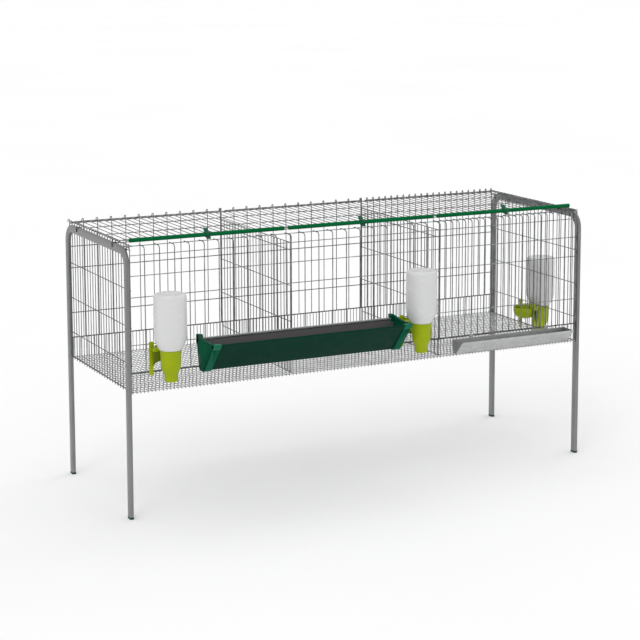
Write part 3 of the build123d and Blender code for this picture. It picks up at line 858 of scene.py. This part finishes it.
def build_feeder(size):
    outer = trough(FEEDER_BACK, FEEDER_TOP, FEEDER_HEIGHT, FEEDER_REACH, 9, 6)
    start = FEEDER_LEFT + CAP_WALL + CAP_GAP
    run = FEEDER_RIGHT - FEEDER_LEFT - 2 * (CAP_WALL + CAP_GAP)
    between = lengthwise(start)
    shape = Shape()
    shape.extrude(folded(outer, size.feeder_wall), between, run)
    lip = (outer[-1][0] + FEEDER_LIP / 2, outer[-1][1] - FEEDER_LIP / 2)
    shape.wire([(start, *lip), (start + run, *lip)], FEEDER_LIP, 16)
    nodes = ["feeder_body"]
    shape.make("trough_green", "cage", "feeder_plastic", material("feeder"), nodes, bevel=0.6)
    strip = Shape()
    centre = (outer[0][0] - 2.2, outer[0][1] - 1.8)
    strip.extrude(rounded(5.6, 7.0, 1.0, centre=centre), between, run)
    strip.make("trough_rim_strip", "cage", "wire_steel", material("sheet"))
    liner = Shape()
    high, low = LINER_SPAN
    lean = FEEDER_REACH[0] / FEEDER_HEIGHT
    near, far = FEEDER_BACK - LINER_PLAY - high * lean, FEEDER_BACK - LINER_PLAY - low * lean
    face = [(near, FEEDER_TOP - high), (far, FEEDER_TOP - low)]
    face += [(far - LINER_SHEET, FEEDER_TOP - low), (near - LINER_SHEET, FEEDER_TOP - high)]
    liner.extrude(face, between, run)
    liner.make("trough_back_liner", "cage", "feeder_plastic", material("liner"))
    plate = inset(outer, CAP_WALL + CAP_GAP)
    for name, x, turn in (("left", FEEDER_LEFT, 1), ("right", FEEDER_RIGHT, -1)):
        place = lengthwise(x, turn)
        cap = Shape()
        cap.extrude(plate, place, CAP_WALL)
        cap.extrude(plate + list(reversed(inset(outer, CAP_GAP))), place, CAP_SKIRT)
        cap.extrude(CAP_HOOK, place, 12.0)
        cap.extrude(rounded(13.0, 13.0, 6.4, 5, centre=(FRONT - 3.5, 562.0)), place, 16.0)
        cap.extrude(CAP_RIM, place, 5.0)
        nodes = [f"feeder_{name}_cap"]
        cap.make(f"trough_cap_{name}", "cage", "cap_plastic", material("cap"), nodes, bevel=0.5)
        grip = Shape()
        grip.extrude(CAP_GRIP, place, CAP_SKIRT + 0.4)
        grip.make(f"trough_grip_{name}", "cage", "cap_plastic", material("grip"), bevel=1.2)


def build_tray(size):
    outer = trough(TRAY_BACK, TRAY_TOP, TRAY_HEIGHT, TRAY_REACH, 4, 4)
    between = lengthwise(TRAY_LEFT + TRAY_PLAY)
    run = TRAY_RIGHT - TRAY_LEFT - 2 * TRAY_PLAY
    # Painted shade: the end plates and the thin sheet inside the back take the darker sheet zinc
    ends = Shape()
    for x in (TRAY_LEFT, TRAY_RIGHT - SHEET):
        ends.extrude(outer, lengthwise(x), SHEET)
    ends.extrude(TRAY_SHADE_SHEET, between, run)
    ends.make("tray_ends", "cage", "sheet_steel", material("dull_sheet"), bevel=0.3)
    shape = Shape()
    shape.extrude(folded(outer, SHEET), between, run)
    hem = rounded(2.4, 7.0, 1.1, centre=(outer[-1][0] + 0.2, TRAY_TOP - 3.5))
    shape.extrude(hem, between, run)
    for x in TAB_PLACES:
        shape.extrude(TRAY_TAB, lengthwise(x - TAB_WIDTH / 2), TAB_WIDTH)
    nodes = ["sheet_trough"]
    shape.make("tray_folded", "cage", "sheet_steel", material("sheet"), nodes, bevel=0.3)


def drinker_place(name, at):
    """Turns a drinker's own x and y into the drawing's."""
    if name == "right":
        return lambda x, y, z: (LENGTH + CUP_REACH - y, at + x, z - RIGHT_DROP)
    return lambda x, y, z: (at + x, FRONT - CUP_REACH + y, z)


def build_bottles(size):
    for name, at, _ in DRINKERS:
        shape = Shape()
        shape.lathe(BOTTLE, drinker_place(name, at)(0, 0, 0), 64)
        nodes = [f"{name}_drinker_bottle"]
        shape.make(
            f"bottle_{name}", "cage", "bottle_plastic", material("bottle"), nodes, smooth=60.0
        )


def build_holders(size):
    mirrored = [(-r, z) for r, z in reversed(BASIN_OUTSIDE[1:])]
    for name, at, shift in DRINKERS:
        place = drinker_place(name, at)
        shape, web = Shape(), Shape()

        def upright(outline, low, high):
            shape.extrude(outline, lambda u, v, w: place(u, v, low + w), high)

        def forward(piece, outline, near, deep):
            piece.extrude(outline, lambda u, v, w: place(u, near + w, v), deep)

        # The cup, two strips with a knob each, the bridge between them and the collar
        shape.lathe(CUP, place(0, 0, 0), 48)
        for x in (-STRIP_SPAN, STRIP_SPAN):
            upright(rounded(14.0, 3.5, 1.0, centre=(x, 58.25)), STRIP_FOOT, STRIP_LENGTH)
            forward(shape, rounded(16.0, 16.0, 7.9, 5, centre=(x, KNOB_LEVEL)), 52.5, 7.3)
        upright(rounded(2 * STRIP_SPAN, 22.0, 2.0, centre=(0.0, 47.0)), 532, 11.0)
        upright(rounded(60.0, 40.0, 3.0, centre=(0.0, 22.0)), 538, 4.6)
        forward(web, WEB, 40, 3.0)
        slot = "lime_plastic"
        # Painted shade: the web plate takes the darker copy of the lime
        web.make(f"holder_web_{name}", "cage", slot, material("olive"), bevel=0.4)
        # The arm through the wall and the half-round basin behind it
        forward(shape, rounded(20.0, 16.0, 3.0, centre=(shift, 518.0)), 12, 53.0)
        start = math.pi / 2 if name == "right" else 0.0
        basin = BASIN_OUTSIDE + BASIN_INSIDE
        shape.lathe(basin, place(shift, BASIN_BACK, 0.0), 24, start, math.pi)
        back = [(shift + r, z) for r, z in (*BASIN_OUTSIDE, *mirrored)]
        forward(shape, back, BASIN_BACK, 2.2)
        nodes = [f"{name}_drinker_holder"]
        shape.make(f"holder_{name}", "cage", slot, material("lime"), nodes, bevel=0.4)


# Stage

FLOOR_REACH = 300.0
FLOOR_TINTS = ((0.3, (0.94, 0.94, 0.943)), (0.7, (0.96, 0.96, 0.963)))

# Each sun: name, turn, tilt, its share of the light, and its angle
SUNS = (
    ("Overhead", 0.0, 4.0, 0.52, 60.0),
    ("Key", 40.0, 48.0, 0.32, 24.0),
    ("Rim", 200.0, 55.0, 0.16, 30.0),
)

CAMERA_PLACE = (-2.8364, -5.4646, 1.8098)
CAMERA_LENS = 103.76
CAMERA_SENSOR = 36.0
CAMERA_SHIFT = (-0.0009, -0.1876)


def build_stage(size):
    scene = bpy.context.scene
    floor = bpy.data.meshes.new("stage_floor")
    signs = ((-1, -1), (1, -1), (1, 1), (-1, 1))
    corners = [(u * FLOOR_REACH, v * FLOOR_REACH, 0) for u, v in signs]
    floor.from_pydata(corners, [], [(0, 1, 2, 3)])
    plane = bpy.data.objects.new("stage_floor", floor)
    scene.collection.objects.link(plane)
    pale = Finish("Stage White", 0.9, specular=0.1)
    pale.colour(pale.ramp(pale.noise(0.4, 2.0), FLOOR_TINTS))
    floor.materials.append(pale.material)

    world = bpy.data.worlds.new("Studio")
    world.use_nodes = True
    surround = world.node_tree.nodes["Background"]
    surround.inputs["Color"].default_value = (1.0, 1.0, 1.0, 1.0)
    surround.inputs["Strength"].default_value = size.world_light
    scene.world = world
    scene.view_settings.view_transform = "Standard"

    for name, turn, tilt, share, soft in SUNS:
        lamp = bpy.data.lights.new(name, "SUN")
        lamp.angle = math.radians(soft)
        lamp.energy = size.sun_light * share / math.cos(math.radians(tilt))
        holder = bpy.data.objects.new(name, lamp)
        holder.rotation_euler = (math.radians(tilt), 0.0, math.radians(turn - 90.0))
        scene.collection.objects.link(holder)


def build_camera(size):
    scene = bpy.context.scene
    yaw, pitch, roll = size.yaw, size.pitch, size.roll
    flat = math.cos(pitch)
    forward = Vector((math.sin(yaw) * flat, math.cos(yaw) * flat, -math.sin(pitch)))
    right = Vector((math.cos(yaw), -math.sin(yaw), 0.0))
    down = forward.cross(right)
    side = right * math.cos(roll) + down * math.sin(roll)
    up = -(down * math.cos(roll) - right * math.sin(roll))
    data = bpy.data.cameras.new("View")
    data.lens, data.sensor_width = CAMERA_LENS, CAMERA_SENSOR
    data.shift_x, data.shift_y = CAMERA_SHIFT
    camera = bpy.data.objects.new("View", data)
    turn = Matrix((side, up, -forward)).transposed()
    camera.matrix_world = Matrix.Translation(CAMERA_PLACE) @ turn.to_4x4()
    scene.collection.objects.link(camera)
    scene.camera = camera


# Add-on


def length(name, description, default):
    """A length in millimetres, shown as a plain number."""
    return bpy.props.FloatProperty(name=name, description=description, default=default, min=0.1)


class CageSizes(bpy.types.PropertyGroup):
    """Pitches and thicknesses of wires, tubes and plastic"""

    bar_pitch: length("Bar Pitch", "Distance between front bars, in millimetres", 50.0)
    bar_wire: length("Bar Wire", "Diameter of the wall wires, in millimetres", 3.3)
    mesh_pitch: length("Mesh Pitch", "Distance between floor wires, in millimetres", 12.5)
    mesh_wire: length("Mesh Wire", "Diameter of the floor wires, in millimetres", 2.3)
    rail_wire: length("Rail Wire", "Diameter of the front wall rails, in millimetres", 2.8)
    ladder_level: length(
        "Ladder Level", "Height of the end walls' top strip, in millimetres", 866.0
    )
    line_wire: length("Line Wire", "Diameter of the line above the floor band, in millimetres", 4.2)
    side_pitch: length("Side Pitch", "Distance between end wall wires, in millimetres", 24.4)
    side_wire: length("Side Wire", "Diameter of the end wall wires, in millimetres", 2.8)
    lid_pitch: length("Lid Pitch", "Distance between lid wires, in millimetres", 25.0)
    lid_wire: length("Lid Wire", "Diameter of the lid wires, in millimetres", 2.7)
    hook_rise: length(
        "Hook Rise", "Height of the back hooks over the hinge rod, in millimetres", 13.0
    )
    tube_corner: length("Tube Corner", "Corner radius of the end frame tube, in millimetres", 3.6)
    sleeve_wide: length(
        "Sleeve Width", "Outside diameter of the lids' front sleeves, in millimetres", 13.4
    )
    clip_width: length("Clip Width", "Width of a latch clip, in millimetres", 15.0)
    feeder_wall: length("Trough Wall", "Wall of the green trough, in millimetres", 3.0)


def swatch(name, description, default):
    """A colour in linear values, shown as a swatch."""
    return bpy.props.FloatVectorProperty(
        name=name, description=description, default=default, min=0.0, max=1.0, subtype="COLOR"
    )


class CageColours(bpy.types.PropertyGroup):
    """Colours of the moulded plastics"""

    sleeve: swatch("Sleeves", "Colour of the sleeves on the lids' front edges", (0.0, 0.125, 0.036))
    clip: swatch("Latch Clips", "Colour of the clips on the sleeves", (0.0, 0.085, 0.045))
    feeder: swatch("Trough", "Colour of the plastic trough", (0.003, 0.035, 0.022))
    liner: swatch("Trough Back", "Colour of the liner on the trough's back", (0.085, 0.08, 0.08))
    cap: swatch("Trough Caps", "Colour of the trough's two end caps", (0.001, 0.1, 0.05))
    grip: swatch("Trough Grips", "Colour of the grips on the end caps", (0.003, 0.15, 0.08))
    plug: swatch("Foot Plugs", "Colour of the plugs in the legs", (0.012, 0.05, 0.035))
    lime: swatch("Drinkers", "Colour of the drinkers' holders", (0.34, 0.43, 0.0015))
    # Painted shade: the web plates take a darker copy of the drinkers' lime
    olive: swatch("Drinker Plates", "Colour of the plates between the strips", (0.15, 0.2, 0.006))


class CageStage(bpy.types.PropertyGroup):
    """Light and camera"""

    world_light: bpy.props.FloatProperty(
        name="World", description="Strength of the white surround", default=0.79
    )
    sun_light: bpy.props.FloatProperty(
        name="Suns",
        description="Light of the three soft suns on the floor, in watts per square metre",
        default=0.84,
    )
    yaw: bpy.props.FloatProperty(
        name="Yaw",
        description="Turn of the view about the upright axis",
        default=0.463,
        unit="ROTATION",
    )
    pitch: bpy.props.FloatProperty(
        name="Pitch",
        description="Tilt of the view below the horizon",
        default=0.143,
        unit="ROTATION",
    )
    roll: bpy.props.FloatProperty(
        name="Roll", description="Roll of the view", default=0.002, unit="ROTATION"
    )


class CageOperator:
    """Runs the steps that an operator names, with the cage's sizes"""

    bl_options = {"REGISTER", "UNDO"}
    steps = ()

    def execute(self, context):
        for step in self.steps:
            step(context.scene.cage_sizes)
        return {"FINISHED"}


class CAGE_OT_mesh(CageOperator, bpy.types.Operator):
    """Weave the floor mesh and its bent-up bands"""

    bl_idname = "cage.mesh"
    bl_label = "Floor Mesh"
    steps = (build_floor, build_bands)


class CAGE_OT_walls(CageOperator, bpy.types.Operator):
    """Make the wire walls and partitions"""

    bl_idname = "cage.walls"
    bl_label = "Wire Walls"
    steps = (build_front_walls, build_back_walls, build_side_walls)


class CAGE_OT_lids(CageOperator, bpy.types.Operator):
    """Make the hinged lids with their sleeves and clips"""

    bl_idname = "cage.lids"
    bl_label = "Lids"
    steps = (build_lids, build_sleeves, build_clips)


class CAGE_OT_frames(CageOperator, bpy.types.Operator):
    """Bend the end frames and fit their hooks and feet"""

    bl_idname = "cage.frames"
    bl_label = "End Frames"
    steps = (build_frames, build_hooks, build_plugs)


class CAGE_OT_troughs(CageOperator, bpy.types.Operator):
    """Make the green trough and the sheet trough"""

    bl_idname = "cage.troughs"
    bl_label = "Troughs"
    steps = (build_feeder, build_tray)


class CAGE_OT_drinkers(CageOperator, bpy.types.Operator):
    """Turn the bottles and their holders"""

    bl_idname = "cage.drinkers"
    bl_label = "Drinkers"
    steps = (build_bottles, build_holders)


class CAGE_OT_stage(bpy.types.Operator):
    """Set the pale floor, the lamps and the camera"""

    bl_idname = "cage.stage"
    bl_label = "Stage"
    bl_options = {"REGISTER", "UNDO"}

    def execute(self, context):
        build_stage(context.scene.cage_stage)
        build_camera(context.scene.cage_stage)
        return {"FINISHED"}


PIECES = (
    CAGE_OT_mesh, CAGE_OT_walls, CAGE_OT_lids, CAGE_OT_frames, CAGE_OT_troughs, CAGE_OT_drinkers
)


class CAGE_PT_panel(bpy.types.Panel):
    """Sizes, colours, stage and the buttons that build each group"""

    bl_label = "Poultry Cage"
    bl_space_type = "VIEW_3D"
    bl_region_type = "UI"
    bl_category = "Cage"

    def draw(self, context):
        layout = self.layout
        scene = context.scene
        for group in (scene.cage_sizes, scene.cage_colours, scene.cage_stage):
            column = layout.column(align=True)
            for key in group.__annotations__:
                column.prop(group, key)
        for operator in (*PIECES, CAGE_OT_stage):
            layout.operator(operator.bl_idname)


CLASSES = (CageSizes, CageColours, CageStage, *PIECES, CAGE_OT_stage, CAGE_PT_panel)


def register():
    for cls in CLASSES:
        bpy.utils.register_class(cls)
    bpy.types.Scene.cage_sizes = bpy.props.PointerProperty(type=CageSizes)
    bpy.types.Scene.cage_colours = bpy.props.PointerProperty(type=CageColours)
    bpy.types.Scene.cage_stage = bpy.props.PointerProperty(type=CageStage)


def unregister():
    del bpy.types.Scene.cage_stage
    del bpy.types.Scene.cage_colours
    del bpy.types.Scene.cage_sizes
    for cls in reversed(CLASSES):
        bpy.utils.unregister_class(cls)


def main():
    register()
    bpy.ops.cage.mesh()
    bpy.ops.cage.walls()
    bpy.ops.cage.lids()
    bpy.ops.cage.frames()
    bpy.ops.cage.troughs()
    bpy.ops.cage.drinkers()
    bpy.ops.cage.stage()


if __name__ == "__main__":
    main()
